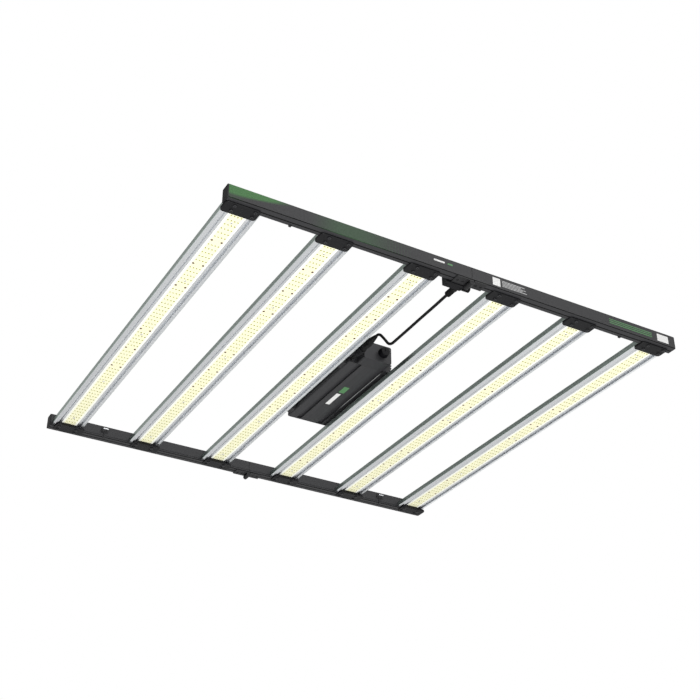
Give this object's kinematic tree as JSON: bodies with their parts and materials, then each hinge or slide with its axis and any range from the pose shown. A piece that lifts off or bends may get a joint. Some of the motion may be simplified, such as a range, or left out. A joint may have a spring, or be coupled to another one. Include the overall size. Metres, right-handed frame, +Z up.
{
  "type": "led grow light",
  "caption": "Folding hanging grow light: finned LED bars between two black rails hinged in the middle, with a driver, dimmer knob and output cable above.",
  "frame": {"origin": "centre of the four hanging loops, in plan and in height", "axes": "+Z up, the LEDs look down; X runs along the rails across the fold; Y runs along the bars"},
  "size_m": [1.088, 1.06, 0.0893],
  "materials": {
    "rail_black": "satin black anodised",
    "cap_black": "fine texture",
    "hinge_black": "black powder coat",
    "pin_steel": "turned",
    "bar_aluminium": "clear anodised",
    "board_white": "white solder mask",
    "screw_black": "black oxide",
    "bracket_black": "satin black",
    "loop_steel": "bright",
    "driver_case": "satin black anodised",
    "driver_cap": "satin black",
    "circuit_green": "solder mask",
    "strap_black": "black powder coat",
    "moulded_black": "fine texture",
    "knob_black": "fine texture",
    "rubber_black": "matt",
    "cable_black": "matt"
  },
  "bodies": {
    "left_half": {"bar_1_far_bracket": "bracket_black", "bar_1_heatsink": "bar_aluminium", "bar_1_led_board": "board_white", "bar_1_near_bracket": "bracket_black", "bar_2_far_bracket": "bracket_black", "bar_2_heatsink": "bar_aluminium", "bar_2_led_board": "board_white", "bar_2_near_bracket": "bracket_black", "bar_3_far_bracket": "bracket_black", "bar_3_heatsink": "bar_aluminium", "bar_3_led_board": "board_white", "bar_3_near_bracket": "bracket_black", "bracket_screws_left": "screw_black", "cable_gland": "rubber_black", "connector_plug": "rubber_black", "connector_socket": "moulded_black", "dimming_port": "moulded_black", "driver_circuit_board": "circuit_green", "driver_front_cap": "driver_cap", "driver_housing": "driver_case", "driver_lead": "cable_black", "driver_rear_cap": "driver_cap", "driver_screws": "screw_black", "driver_straps": "strap_black", "far_end_cap_left": "cap_black", "far_hinge_leaf_left": "hinge_black", "far_hinge_pin": "pin_steel", "far_rail_left": "rail_black", "hanger_plates_left": "hinge_black", "hanging_loops_left": "loop_steel", "junction_box": "moulded_black", "junction_cover": "moulded_black", "mains_gland": "moulded_black", "near_end_cap_left": "cap_black", "near_hinge_leaf_left": "hinge_black", "near_hinge_pin": "pin_steel", "near_rail_left": "rail_black", "output_cable": "cable_black"},
    "right_half": {"bar_4_far_bracket": "bracket_black", "bar_4_heatsink": "bar_aluminium", "bar_4_led_board": "board_white", "bar_4_near_bracket": "bracket_black", "bar_5_far_bracket": "bracket_black", "bar_5_heatsink": "bar_aluminium", "bar_5_led_board": "board_white", "bar_5_near_bracket": "bracket_black", "bar_6_far_bracket": "bracket_black", "bar_6_heatsink": "bar_aluminium", "bar_6_led_board": "board_white", "bar_6_near_bracket": "bracket_black", "bracket_screws_right": "screw_black", "far_end_cap_right": "cap_black", "far_hinge_leaf_right": "hinge_black", "far_rail_right": "rail_black", "hanger_plates_right": "hinge_black", "hanging_loops_right": "loop_steel", "near_end_cap_right": "cap_black", "near_hinge_leaf_right": "hinge_black", "near_rail_right": "rail_black"},
    "dimmer": {"dimmer_knob": "knob_black"}
  },
  "joints": [
    {"name": "fold", "type": "hinge", "parent": "left_half", "child": "right_half", "pos_m": [0, 0, -0.0265], "axis": [0, 1, 0], "range_deg": [0, 180]},
    {"name": "dimmer_turn", "type": "hinge", "parent": "left_half", "child": "dimmer", "pos_m": [0.039, -0.116, 0.0325], "axis": [0, 1, 0], "range_deg": [0, 270]}
  ]
}
